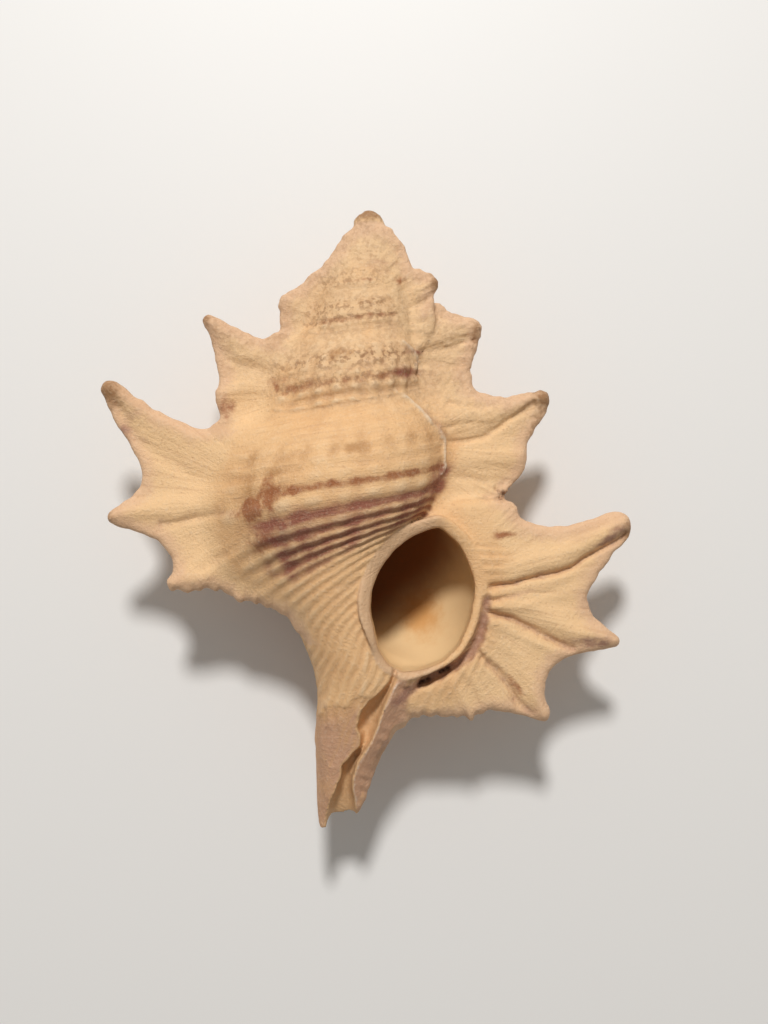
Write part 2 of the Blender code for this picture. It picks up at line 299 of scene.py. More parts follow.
RIGHT_EARLIER_LINES = (
    (((7.6, 9.8), (12.0, 10.3), (15.0, 11.3), (17.6, 12.0)), 0.4, 0.7, 1.6, 0.9),
    (
        ((7.2, 7.4), (9.4, 7.5), (10.9, 8.0), (12.8, 8.8), (14.0, 9.7), (16.4, 11.0)),
        -0.3, -0.4, 0.25, 0.35,
    ),
    (((7.4, 8.7), (9.4, 9.2), (12.4, 9.4)), -0.2, -0.1, 0.2, 0.25),
    (((8.0, 11.2), (10.4, 10.9), (13.0, 11.3)), -0.25, -0.1, 0.25, 0.25),
    (((8.0, 5.6), (12.0, 6.0), (15.5, 5.9)), 0.2, 0.4, 1.0, 0.8),
    (((8.6, 4.0), (12.0, 3.7), (14.4, 3.6)), -0.2, -0.15, 0.4, 0.4),
)
LEFT_EARLIER_LINES = (
    (((-8.5, 14.9), (-12.5, 17.0), (-16.2, 19.6)), 0.3, 0.6, 1.6, 0.8),
    (((-9.5, 12.8), (-12.5, 12.8), (-15.2, 12.0)), 0.2, 0.4, 1.2, 0.8),
    (((-10.5, 14.4), (-13.5, 15.4), (-15.6, 17.2)), -0.15, -0.2, 0.5, 0.4),
)
RIGHT_THIRD_LINES = (
    (((5.0, 17.6), (8.0, 18.5), (10.9, 19.3)), 0.3, 0.5, 1.1, 0.7),
    (((5.0, 16.6), (7.6, 16.9), (10.3, 17.9)), -0.3, -0.25, 0.3, 0.3),
    (((4.6, 15.0), (7.6, 15.0), (9.8, 15.4)), -0.15, -0.2, 0.3, 0.3),
)
SPIRE_LINES = (
    (((3.6, 21.4), (5.4, 22.4), (6.6, 23.5)), 0.2, 0.4, 0.7, 0.5),
    (((3.4, 20.4), (5.6, 21.2), (6.4, 22.2)), -0.2, -0.2, 0.25, 0.25),
    (((-6.0, 20.4), (-8.8, 21.6)), 0.15, 0.3, 0.9, 0.6),
)


def rounded(points):
    """A closed smooth curve through an outline's points."""
    p = np.array(points, float)
    before, after, beyond = np.roll(p, 1, 0), np.roll(p, -1, 0), np.roll(p, -2, 0)
    curve = []
    for step in range(OUTLINE_STEPS):
        t = step / OUTLINE_STEPS
        curve.append(
            p
            + 0.5 * t * (after - before)
            + t * t * (before - 2.5 * p + 2 * after - 0.5 * beyond)
            + t**3 * (-0.5 * before + 1.5 * p - 1.5 * after + 0.5 * beyond)
        )
    return np.stack(curve, 1).reshape(-1, 2)


def outline_distance(outline, px, py):
    """How far outside a closed outline a place is."""
    starts = rounded(outline)
    ends = np.roll(starts, -1, 0)
    nearest = np.full(np.broadcast_shapes(px.shape, py.shape), 1e9)
    inside = np.zeros(nearest.shape, bool)
    for (x0, y0), (x1, y1) in zip(starts, ends):
        run_x, run_y = x1 - x0, y1 - y0
        part = ((px - x0) * run_x + (py - y0) * run_y) / (run_x * run_x + run_y * run_y)
        part = np.clip(part, 0.0, 1.0)
        nearest = np.minimum(nearest, np.hypot(px - x0 - part * run_x, py - y0 - part * run_y))
        if y0 != y1:
            crosses = (y0 > py) != (y1 > py)
            inside ^= crosses & (px < x0 + (py - y0) * run_x / run_y)
    return np.where(inside, -nearest, nearest)


def stroke(points, px, py):
    """(distance from a line of points, how far along it from 0 to 1)."""
    p = np.array(points, float)
    runs = np.hypot(*(p[1:] - p[:-1]).T)
    nearest = np.full(np.broadcast_shapes(px.shape, py.shape), 1e9)
    part_along = np.zeros_like(nearest)
    travelled = 0.0
    for (x0, y0), (x1, y1), run in zip(p[:-1], p[1:], runs):
        ux, uy = (x1 - x0) / run, (y1 - y0) / run
        part = np.clip((px - x0) * ux + (py - y0) * uy, 0.0, run)
        gap = np.hypot(px - x0 - part * ux, py - y0 - part * uy)
        closer = gap < nearest
        nearest = np.where(closer, gap, nearest)
        part_along = np.where(closer, (travelled + part) / runs.sum(), part_along)
        travelled += run
    return nearest, part_along


def lumps(px, py, pz, length, seed):
    """Smooth random heights from -1 to 1, about a length apart."""
    table = np.random.default_rng(seed).uniform(-1.0, 1.0, (32, 32, 32)).astype(np.float32)
    places = [np.asarray(p, np.float32) / length for p in (px, py, pz)]
    cells = [np.floor(p).astype(int) for p in places]
    parts = [p - c for p, c in zip(places, cells)]
    parts = [t * t * (3.0 - 2.0 * t) for t in parts]
    total = 0.0
    for dx in (0, 1):
        for dy in (0, 1):
            for dz in (0, 1):
                weights = [t if d else 1.0 - t for t, d in zip(parts, (dx, dy, dz))]
                corner = table[(cells[0] + dx) % 32, (cells[1] + dy) % 32, (cells[2] + dz) % 32]
                total = total + corner * weights[0] * weights[1] * weights[2]
    return total


def wavered(px, py):
    """A place moved a little, so that what is drawn straight grows a little crooked."""
    flat = np.zeros(np.broadcast_shapes(px.shape, py.shape))
    aside = 0.3 * lumps(px, py, flat, 2.8, 20) + 0.05 * lumps(px, py, flat, 0.9, 21)
    upward = 0.3 * lumps(px, py, flat, 2.8, 22) + 0.05 * lumps(px, py, flat, 0.9, 23)
    return px + aside, py + upward


def line_relief(lines, px, py):
    """Rounded ridges (height over 0) and grooves (under 0) along lines."""
    relief = 0.0
    px, py = wavered(px, py)
    for points, height, end_height, width, end_width in lines:
        gap, part = stroke(points, px, py)
        gap = gap / (width + (end_width - width) * part)
        relief = relief + (height + (end_height - height) * part) * np.exp(-gap * gap)
    return relief


def root_distance(half_turns, px, py):
    """How far outside the whorl, in the fins' plane, a place is."""
    size = COIL_SHRINK**half_turns
    side = 1 if half_turns % 2 == 0 else -1
    out = side * across_axis(px, py) / size - WHORL_OFF_AXIS
    down = along_axis(px, py) / size - WHORL_ALONG_AXIS
    return size * oval_distance(out, down, WHORL_HALF_WIDTH, WHORL_HALF_HEIGHT)


def fin_surfaces(half_turns, px, py):
    """The fin's back and front heights at a place in its plane."""
    size = COIL_SHRINK**half_turns
    side = 1 if half_turns % 2 == 0 else -1
    from_whorl = root_distance(half_turns, px, py) / size
    root = np.maximum(from_whorl, 0.0)
    beyond_flare = (from_whorl + np.hypot(from_whorl, FLARE_ROUNDING)) / 2
    flare = FLARE_HEIGHT * size * np.exp(-beyond_flare / FLARE_WIDTH)
    face = FACE_HEIGHT * size * np.exp(-root / FACE_WIDTH)
    bend = -side * FIN_RECURVE * size * np.clip(root / RECURVE_REACH, 0.0, 1.2) ** 2
    if side > 0:
        return bend - FIN_EDGE - flare, bend + FIN_EDGE + face
    return bend - FIN_EDGE - face, bend + FIN_EDGE + flare


FINS = (
    # half turns back, outline, ribs and grooves
    (0, MOUTH_FIN, MOUTH_FIN_LINES),
    (1, LEFT_LAST_FIN, LEFT_LAST_LINES),
    (2, RIGHT_EARLIER_FIN, RIGHT_EARLIER_LINES),
    (3, LEFT_EARLIER_FIN, LEFT_EARLIER_LINES),
    (4, RIGHT_THIRD_FIN, RIGHT_THIRD_LINES),
    (5, SPIRE_EDGE, SPIRE_LINES),
)
flat_x, flat_y = x[:, :, 0], y[:, :, 0]
edge_lumps = lumps(flat_x, flat_y, 0 * flat_x, 0.9, 1) + 0.5 * lumps(flat_x, flat_y, 0 * flat_x, 0.5, 2)
fin_depths = []
for half_turns, outline, lines in FINS:
    side = 1 if half_turns % 2 == 0 else -1
    size = COIL_SHRINK**half_turns
    outside = outline_distance(outline, flat_x, flat_y) + EDGE_ROUGHNESS * edge_lumps
    if half_turns < 2:
        scallop = np.cos(math.tau * (flat_x + 0.3 * edge_lumps) / STOP_SPACING)
        scalloped = np.where(flat_x < 0, smooth_step(-flat_y, 6.6, 7.4), smooth_step(-flat_y, 18.6, 19.4))
        outside = outside + SCALLOP_DEPTH * scallop * scalloped * smooth_step(13.0 - flat_x, 0.0, 1.0)
    fin_back, fin_front = fin_surfaces(half_turns, flat_x, flat_y)
    relief = line_relief(lines, flat_x, flat_y)
    fin_front = fin_front + relief
    fin_back = fin_back - RIDGE_SHOWN_BEHIND * np.maximum(relief, 0.0)
    fin_depths.append((outside, fin_back, fin_front))
    middle = ((fin_back + fin_front) / 2)[:, :, None]
    half = ((fin_front - fin_back) / 2)[:, :, None]
    fin = np.sqrt(np.maximum(outside[:, :, None] + half, 0.0) ** 2 + (z - middle) ** 2) - half
    fillet_end = FACE_FILLET_END if side > 0 else FLARE_FILLET_END
    root = root_distance(half_turns, flat_x, flat_y) / size
    near_root = 1.0 - smooth_step(root, 0.0, fillet_end)[:, :, None]
    face_fillet = SHALLOW_FACE_FILLET if half_turns == 2 else FACE_FILLET
    fillet = np.where(side * z < 0, FLARE_FILLET, face_fillet) * (0.3 + 0.7 * size)
    off_neck = 1.0 - smooth_step(-y, 8.0, 14.0)
    fillet = THIN_FILLET + (fillet - THIN_FILLET) * off_neck * (half_turns < 5) * near_root
    body = smooth_min(body, fin.astype(np.float32), fillet.astype(np.float32))

# ---------------------------------------------------------------------------------------------
# The mouth: the newest shell, as smooth as porcelain. A thick raised lip stands round an oval hole,
# highest where it crosses the pillar. The hollow that the snail lived in runs from it back inside
# the coil, and a stained groove runs down between the lip and the last fin.
MOUTH = (
    (6.6, -1.1), (7.5, -1.5), (8.4, -2.3), (9.2, -3.4), (9.8, -4.8), (10.3, -6.2), (10.4, -7.6),
    (10.1, -9.2), (9.5, -11.2), (8.4, -13.1), (6.9, -14.3), (5.0, -15.0), (3.5, -15.2), (2.4, -14.8),
    (1.5, -14.0), (0.8, -12.5), (0.3, -10.4), (0.1, -8.6), (0.3, -7.0), (1.0, -5.2), (2.2, -3.5),
    (3.4, -2.4), (4.9, -1.6),
)
LIP_WIDTH = 1.25
LIP_NARROWING = 0.5
LIP_RIGHT_HEIGHT = 1.2
LIP_SLOPE = 0.29
LIP_RIGHT_EDGE = 11.8
LIP_BEVEL = 0.55
LIP_DROP = 1.0
GROOVE_HALF_WIDTH = 0.5
CREVICE_HALF_WIDTH = 0.12
HOLLOW_ALONG_AXIS = 37.2
HOLLOW_HALF_WIDTH = 5.15
HOLLOW_HALF_HEIGHT = 7.3
HOLLOW_HALF_TURNS = 1.6
LIP_GROOVE = (
    (11.6, -8.2), (11.3, -10.2), (10.8, -12.1), (9.95, -13.5), (8.9, -14.4), (7.8, -15.05),
    (7.05, -15.45), (6.0, -15.95), (5.2, -16.3), (4.3, -16.8), (3.5, -17.5), (2.6, -18.3),
)
GROOVE_DEPTHS = ((0.0, -0.2), (0.2, 0.2), (0.5, 0.3), (0.65, 0.4), (0.85, 0.2), (1.0, -0.2))
CREVICES = (((7.8, -15.0), (7.4, -15.2), (7.0, -15.4)), ((5.8, -16.1), (5.3, -16.35), (4.8, -16.55)))

mouth = outline_distance(MOUTH, flat_x, flat_y) + 0.04 * edge_lumps
lip_width = LIP_WIDTH - LIP_NARROWING * smooth_step(-flat_y, 8.5, 13.0)
lip_top = LIP_RIGHT_HEIGHT + LIP_SLOPE * np.maximum(LIP_RIGHT_EDGE - flat_x, 0.0)
lip_top = lip_top + LIP_BEVEL * np.clip(mouth / lip_width, -0.3, 1.0)
lip_top = lip_top - LIP_DROP * smooth_step(-flat_y, 11.0, 14.5) * smooth_step(6.0 - flat_x, 0.0, 2.0)
lip_top = lip_top + 0.1 * lumps(flat_x, flat_y, 0 * flat_x, 1.6, 3)
lip_band = np.abs(mouth - lip_width / 2 + 0.3) - lip_width / 2 - 0.3
lip = smooth_max(smooth_max(lip_band[:, :, None], z - lip_top[:, :, None], 0.5), -1.0 - z, 0.5)
body = smooth_min(body, lip.astype(np.float32), 0.25)
groove_gap, groove_part = stroke(LIP_GROOVE, flat_x, flat_y)
groove_depth = np.interp(groove_part, *np.array(GROOVE_DEPTHS).T)
groove_floor = 1.1 - groove_depth + 1.6 * groove_gap**2
groove = smooth_max(groove_gap[:, :, None] - GROOVE_HALF_WIDTH, groove_floor[:, :, None] - z, 0.3)
body = smooth_max(body, -groove.astype(np.float32), 0.4)
crevice_gap = np.minimum(*(stroke(line, flat_x, flat_y)[0] for line in CREVICES))
crevice = np.maximum(crevice_gap[:, :, None] - CREVICE_HALF_WIDTH, 0.4 - z)
body = smooth_max(body, -crevice.astype(np.float32), 0.25)

bearing = half_turns_back(x, y, z)
tube = tube_distance(
    np.maximum(bearing, 0.0), x, y, z, HOLLOW_HALF_WIDTH, HOLLOW_HALF_HEIGHT, HOLLOW_ALONG_AXIS
)
deep = np.maximum(smooth_step(-z, 0.3, 3.0), smooth_step(bearing, 0.15, 0.3))
hollow = mouth[:, :, None] * (1.0 - deep) + tube * deep
hollow = smooth_max(hollow, (bearing - HOLLOW_HALF_TURNS) * 8.0, 2.0)
at_mouth = (z > 0) & ((bearing < 0.0) | (mouth[:, :, None] < 0))
hollow = np.where(at_mouth, mouth[:, :, None], hollow)
body = smooth_max(body, -hollow.astype(np.float32), 0.35)

# ---------------------------------------------------------------------------------------------
# The canal: the open groove down the neck that the snail breathed through, as smooth as the lip. Its
# right side grew up into a thin wall, and its left side has chipped.
CANAL = (
    (2.2, -14.9), (2.0, -16.1), (1.2, -17.0), (0.4, -17.7), (-0.3, -18.3), (-0.9, -19.0), (-1.1, -19.9),
    (-1.2, -20.8), (-0.9, -21.6), (-0.9, -22.6), (-1.6, -23.3), (-2.2, -24.1), (-2.8, -24.7),
    (-2.9, -25.8), (-3.3, -26.9), (-3.7, -27.8), (-4.0, -28.8), (-4.3, -32.5), (-1.2, -32.5),
    (-1.5, -29.2), (-1.8, -27.2), (-1.7, -25.7), (-1.3, -24.4), (-0.8, -23.5), (-0.1, -22.3),
    (0.4, -21.2), (0.8, -20.1), (1.3, -18.7), (1.8, -17.5), (2.4, -16.2), (2.9, -14.9),
)
CANAL_DEPTH = 2.0
WALL = (
    (6.4, -14.9), (4.8, -15.5), (3.4, -15.9), (2.6, -16.5), (2.0, -17.8), (1.5, -18.9), (1.0, -20.3),
    (0.6, -21.4), (0.1, -22.5), (-0.6, -23.7), (-1.1, -24.6), (-1.5, -25.7), (-1.6, -27.2), (-1.3, -29.2),
)
WALL_HEIGHTS = (
    # how far along the wall, and how high its crest stands
    (0.0, 1.9), (0.1, 2.4), (0.2, 2.8), (0.3, 2.9), (0.45, 2.5), (0.6, 1.9), (0.8, 0.8), (1.0, -0.5),
)
FLANK = (
    (5.0, -15.4), (4.6, -17.2), (4.6, -19.3), (3.8, -20.1), (3.2, -20.7), (2.5, -21.0), (2.2, -21.7),
    (1.9, -22.4), (1.3, -22.9), (0.9, -23.9), (0.4, -24.8), (0.0, -26.2), (-0.4, -27.5), (-0.8, -28.8),
    (-1.2, -29.5), (-1.6, -29.2), (-1.8, -27.0), (-1.6, -25.6), (-0.9, -23.7), (0.3, -21.4),
    (1.2, -18.9), (2.1, -16.6), (3.0, -15.5),
)
FLANK_SLOPE = 0.9

# The wall's crest, and the flank that falls from it to the edge on the right.
wall_gap, wall_part = stroke(WALL, flat_x, flat_y)
crest_height = np.interp(wall_part, *np.array(WALL_HEIGHTS).T)
flank_top = crest_height + 0.2 - FLANK_SLOPE * np.maximum(wall_gap - 0.1, 0.0)
flank_edge = outline_distance(FLANK, flat_x, flat_y) + 0.06 * edge_lumps
flank = smooth_max(flank_edge[:, :, None], (z - flank_top[:, :, None]) * 0.75, 0.25)
flank = np.maximum(flank, -1.4 - z)
body = smooth_min(body, flank.astype(np.float32), 0.3)

canal_edge = outline_distance(CANAL, flat_x, flat_y) + 0.08 * edge_lumps
canal_floor = front[:, :, 0] - CANAL_DEPTH + np.maximum(canal_edge + 0.8, 0.0) ** 2
canal = smooth_max(canal_edge[:, :, None], canal_floor[:, :, None] - z, 0.8)
body = smooth_max(body, -canal.astype(np.float32), 0.25)

# ---------------------------------------------------------------------------------------------
# The worn flat: the hump of the last whorl's back stands out furthest, so sand has ground a small
# flat on it, and the empty shell lies on that.
REST_DEPTH = 11.2
body = smooth_max(body, -REST_DEPTH - z, 0.15)

# ---------------------------------------------------------------------------------------------
# The skin: one closed mesh round all of that, with the fine relief of the shell pushed out of it.
# Spiral cords run along the whorls and fan out over the base, and growth ribs cross them.
MM = 0.001
MOST_TRIANGLES = 190_000
CORDS = (
    # how far down the whorl's section a cord's crest lies, and its height
    (-12.0, 0.0), (-9.5, 0.02), (-7.6, 0.03), (-5.8, 0.03), (-3.9, 0.04), (-1.9, 0.05), (0.2, 0.07),
    (3.9, 0.14), (7.9, 0.17), (10.4, 0.17), (12.5, 0.15), (14.5, 0.14), (16.3, 0.13), (18.0, 0.12),
    (19.7, 0.12), (21.9, 0.11),
) + tuple((24.1 + 2.2 * cord, 0.1) for cord in range(20))
BASE_CORDS_FROM = 4.0
BASE_CORDS_SPREAD = 0.95
BASE_CORDS_EASING = 0.3
NECK_CORD_SPACING = 2.2
GROWTH_RIBS = (
    # how far down the whorl's section, and how high the ribs stand there
    (-10, 0.03), (-6, 0.04), (0, 0.05), (3, 0.1), (8, 0.08), (14, 0.04), (20, 0.0),
)
RIBS_PER_HALF_TURN = 10
SPIRE_RIB_GAIN = 3.2
SPIRE_CORD_GAIN = 1.6
OLD_LIPS = (
    # the rims of old mouths, left standing where the next half turn starts inside them
    ((2.5, 12.2), (4.2, 11.1), (5.6, 9.7), (6.6, 8.6), (7.2, 7.6), (7.4, 6.4), (7.5, 5.3), (7.0, 4.3)),
    ((3.4, 17.3), (4.3, 16.4), (4.7, 15.4), (4.6, 14.4)),
)
OLD_LIP_HEIGHT = 0.2
OLD_LIP_WIDTH = 0.2
CRACKS = (
    # the edges of old flakes on the neck: (points, height, half width)
    (((-0.1, -13.2), (-0.5, -15.5), (-0.7, -17.6), (-1.3, -19.3)), 0.16, 0.25),
    (((-3.6, -19.6), (-3.2, -22.0), (-3.9, -24.5)), -0.1, 0.3),
)
OLD_CANAL_END = -17.6
FLAKE_STEP = 0.16
PITS = (13.3, 2.2, 1.3, 1.1)
PIT_DEPTH = 0.4
STOP_HEIGHT = 0.08
WORN_FLAT_RIM = 0.25

grid = openvdb.FloatGrid(FAR_OUTSIDE)
grid.copyFromArray(body.astype(np.float32))
points, triangles, quads = grid.convertToPolygons(isovalue=0.0, adaptivity=0.0)
points = points.astype(float) * GRID_STEP + np.array(GRID_LOW)
mesh = bpy.data.meshes.new("shell_skin")
mesh.from_pydata(points, [], quads.tolist() + triangles.tolist())
normals = np.empty(len(points) * 3, np.float32)
mesh.vertex_normals.foreach_get("vector", normals)
normals = normals.reshape(-1, 3)
px, py, pz = points.T


def sampled(flat_map):
    """A map over the fins' plane, read off at the skin's points."""
    across, down = (px - GRID_LOW[0]) / GRID_STEP, (py - GRID_LOW[1]) / GRID_STEP
    i = np.clip(across.astype(int), 0, flat_map.shape[0] - 2)
    j = np.clip(down.astype(int), 0, flat_map.shape[1] - 2)
    s, t = across - i, down - j
    low = flat_map[i, j] * (1 - s) + flat_map[i + 1, j] * s
    high = flat_map[i, j + 1] * (1 - s) + flat_map[i + 1, j + 1] * s
    return low * (1 - t) + high * t


def lumps_here(length, seed):
    """Lumps at the skin's points."""
    return lumps(px, py, pz, length, seed)


def near(gap, width):
    """1 where a gap is nothing, easing to 0 beyond about a width."""
    return np.exp(-((gap / width) ** 2))


def blot(cx, cy, long, wide, slope=0):
    """1 at a place, easing to 0 beyond an oval: its half length, half width, and slope in degrees."""
    slope = math.radians(slope)
    along = (px - cx) * math.cos(slope) + (py - cy) * math.sin(slope)
    aside = (py - cy) * math.cos(slope) - (px - cx) * math.sin(slope)
    return np.exp(-((along / long) ** 2) - (aside / wide) ** 2)


# Where each point lies on its whorl: half turns back from the lip, and how far down the section.
tubes = whorl_tubes(px, py, pz)
nearest_whorl = np.argmin([tube for tube, turns in tubes], axis=0)
turns = half_turns_back(px, py, pz)
nearest_whorl = np.where(turns < 0.0, np.maximum(nearest_whorl, 1), nearest_whorl)
turns = turns + 2 * nearest_whorl
out, down, size = tube_section(turns, px, py, pz, WHORL_ALONG_AXIS)
cord_place = down + 0.8 * np.maximum(WHORL_HALF_WIDTH - out, 0.0) * smooth_step(down, -1.0, 2.0)
spread = np.exp(BASE_CORDS_SPREAD * BASE_CORDS_EASING * np.tanh((turns - 1.5) / BASE_CORDS_EASING))
fanned = BASE_CORDS_FROM + (cord_place - BASE_CORDS_FROM) * spread
cord_place = np.where((cord_place > BASE_CORDS_FROM) & (nearest_whorl < 2), fanned, cord_place)

# The cords turn down the neck's front, and run along it.
on_neck = smooth_step(-py, 8.5, 14.0) * smooth_step(pz, -1.5, 1.0)
neck_place = 19.0 + NECK_CORD_SPACING * (px + 7.0) - 1.0 * (py + 10.0)
neck_place = neck_place + 0.7 * lumps_here(2.6, 18)
cord_place = cord_place + (neck_place - cord_place) * on_neck

# On a fin: how surely, how near its edge, and the bearing and distance from its whorl's middle.
on_fin, ray, reach, between_fins = np.zeros((4, len(px)))
to_edge = np.full(len(px), -9.0)
for (half_turns, outline, lines), (outside, fin_back, fin_front) in zip(FINS, fin_depths):
    side = 1 if half_turns % 2 == 0 else -1
    fin_size = COIL_SHRINK**half_turns
    above = np.where(pz > 0, pz - sampled(fin_front), sampled(fin_back) - pz)
    root = sampled(root_distance(half_turns, flat_x, flat_y)) / (0.5 + 0.5 * fin_size)
    root = root + 0.9 * lumps_here(2.0, 32)
    start = 0.0 if half_turns < 5 else 0.6
    blend = np.where(side * pz < 0, 2.5, 0.7)
    this = smooth_step(-above, -blend, -0.2) * smooth_step(root, start - 1.0, start + 3.5)
    this = this * smooth_step(-sampled(outside), -0.6, -0.2)
    switch = near(this - on_fin, 0.2) * smooth_step(np.minimum(this, on_fin), 0.05, 0.3)
    between_fins = np.maximum(between_fins * (this < 0.5 + on_fin), switch)
    below_middle = along_axis(px, py) - WHORL_ALONG_AXIS * fin_size
    out_from_middle = side * across_axis(px, py) - WHORL_OFF_AXIS * fin_size
    ray = np.where(this > on_fin, np.arctan2(below_middle, out_from_middle) + half_turns, ray)
    reach = np.where(this > on_fin, np.hypot(below_middle, out_from_middle), reach)
    to_edge = np.maximum(to_edge, -sampled(outside))
    on_fin = np.maximum(on_fin, this)


def outside_hollow(px, py, pz):
    """How far outside the hollow a point is, in the part of it that follows the coil."""
    turns = np.maximum(half_turns_back(px, py, pz), 0.0)
    return tube_distance(turns, px, py, pz, HOLLOW_HALF_WIDTH, HOLLOW_HALF_HEIGHT, HOLLOW_ALONG_AXIS)


# The smooth parts: the hollow's wall, the lip and the canal.
hollow_at = outside_hollow(px, py, pz)
last_turns = half_turns_back(px, py, pz)
faces_in = smooth_step(hollow_at - outside_hollow(*(points + 0.2 * normals).T), 0.0, 0.06)
in_hollow = smooth_step(-sampled(mouth), -0.15, 0.1) * smooth_step(sampled(lip_top) - pz, 0.1, 0.5)
behind = (pz < 0) | (last_turns >= 0.0)
in_hollow = np.maximum(in_hollow, smooth_step(-hollow_at, -0.45, -0.3) * behind)
in_hollow = in_hollow * np.maximum(faces_in, smooth_step(pz, -1.5, -0.5))
in_hollow = in_hollow * smooth_step(HOLLOW_HALF_TURNS + 0.4 - last_turns, 0.0, 0.1)
on_lip = smooth_step(sampled(lip_width) + 0.2 - sampled(mouth), 0.0, 0.25) * smooth_step(pz, 0.2, 0.9)
in_canal = smooth_step(-sampled(canal_edge), -0.25, 0.0) * smooth_step(pz, -3.2, -2.8)
smooth_part = np.maximum(np.maximum(in_hollow, on_lip), in_canal)

# Cords fade out into the smooth skin of a fin that flares ahead of them, except over the base.
ahead = turns - np.floor(turns)
wavering = 0.06 * lumps_here(1.5, 13) + 0.05 * lumps_here(3.2, 14)
fade = np.maximum(smooth_step(ahead + wavering, 0.01, 0.16), 0.75 * smooth_step(cord_place, 13.0, 18.0))
flake_edge = 1.2 * lumps_here(2.2, 4)
new_canal = OLD_CANAL_END - py + flake_edge + 0.6 * lumps_here(0.8, 24) + 0.3 * px
new_canal = smooth_step(new_canal, 0.0, 0.5)
by_flank = smooth_step(1.0 - sampled(flank_edge) - 2.0 * (px > 4), 0.0, 0.5)
new_canal = np.minimum(new_canal * by_flank + new_canal * (px < 2), 1.0)
off_whorl = smooth_step(sampled(root_distance(2, flat_x, flat_y)), 0.1, 0.5) * (pz > 0)
off_whorl = off_whorl * smooth_step(across_axis(px, py), 8.2, 9.0) * (cord_place < 17.0)
cord_weight = fade * (1.0 - on_fin) * (1.0 - smooth_part) * (1.0 - new_canal) * (1.0 - off_whorl)
on_spire = turns > 2.0
crest_places, crest_heights = np.array(CORDS).T
cord_count = np.interp(cord_place, crest_places, np.arange(len(CORDS)))
cord_wave = np.cos(math.tau * cord_count)
cord_height = np.interp(cord_place, crest_places, crest_heights)
cord_height = cord_height * np.where(on_spire, SPIRE_CORD_GAIN, 1.0)
rib_wave = np.cos(math.tau * RIBS_PER_HALF_TURN * turns)
rib_height = np.interp(cord_place, *np.array(GROWTH_RIBS).T) * np.where(on_spire, SPIRE_RIB_GAIN, 1.0)
beads = rib_height * (0.6 * rib_wave + 0.6 * rib_wave * np.maximum(cord_wave, 0.0))
uneven = 1.0 + 0.35 * lumps_here(2.1, 5)
relief = size * cord_weight * uneven * (cord_height * cord_wave + beads)

old_lip = np.zeros(len(px))
for line in OLD_LIPS:
    gap, part = stroke(line, *wavered(px, py))
    broken = smooth_step(lumps_here(0.7, 15) + 0.6 * lumps_here(2.0, 16), -0.5, 0.1)
    rim = near(gap, OLD_LIP_WIDTH) * (0.4 + 0.6 * broken) * (pz > 0)
    old_lip = np.maximum(old_lip, rim)
relief = relief + OLD_LIP_HEIGHT * old_lip

# The fins' rays, the lumpy wear all over, and the flake edge where the old canal ends.
streaks = lumps(ray * 30.0, reach / 4.0, turns * 0.0, 1.0, 6) * np.exp(-reach / 14.0)
relief = relief + np.where(px > 0, 0.09, 0.04) * on_fin * (1 - smooth_part) * streaks
rough = (1.0 - np.maximum(in_hollow, in_canal)) * (0.7 + 0.8 * new_canal)
relief = relief + rough * (0.07 * lumps_here(2.6, 7) + 0.035 * lumps_here(0.8, 8))
spire_part = smooth_step(py + 0.15 * px, 7.0, 15.0)
relief = relief + spire_part * (0.09 * lumps_here(0.55, 25) + 0.06 * lumps_here(1.2, 26))
pitted = blot(*PITS)
pits = pitted * smooth_step(lumps_here(0.45, 27), 0.1, 0.4)
relief = relief - PIT_DEPTH * pits
relief = relief - FLAKE_STEP * new_canal * smooth_step(pz, -1.0, 0.5) * (1 - smooth_part)

# The scalloped right flank of the neck, where growth stops cross the thin wall of the canal.
flank_part = smooth_step(-py, 18.5, 20.5) * smooth_step(-sampled(flank_edge), -0.6, 0.0) * (1.0 - in_canal)
flank_part = flank_part * smooth_step(sampled(wall_gap), 0.3, 0.9)
stops = np.cos(math.tau * (py + 0.35 * px + 0.5 * lumps_here(1.8, 9)) / STOP_SPACING)
relief = relief + STOP_HEIGHT * flank_part * stops * (1.0 + lumps_here(2.4, 19))
for line, height, width in CRACKS:
    gap, part = stroke(line, px, py)
    relief = relief + height * near(gap, width) * (pz > 0.5) * (1.0 - in_hollow)
points = points + normals * relief[:, None]
on_flat = pz < -REST_DEPTH + WORN_FLAT_RIM
points[:, 2] = np.where(on_flat, pz, np.maximum(points[:, 2], -REST_DEPTH))

low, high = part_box("shell")
place = np.array(((low[0] + high[0]) / 2, (low[1] + high[1]) / 2, REST_DEPTH * MM))
place[:2] -= (points.min(0)[:2] + points.max(0)[:2]) / 2 * MM
mesh.vertices.foreach_set("co", (points * MM + place).astype(np.float32).ravel())
mesh.update()

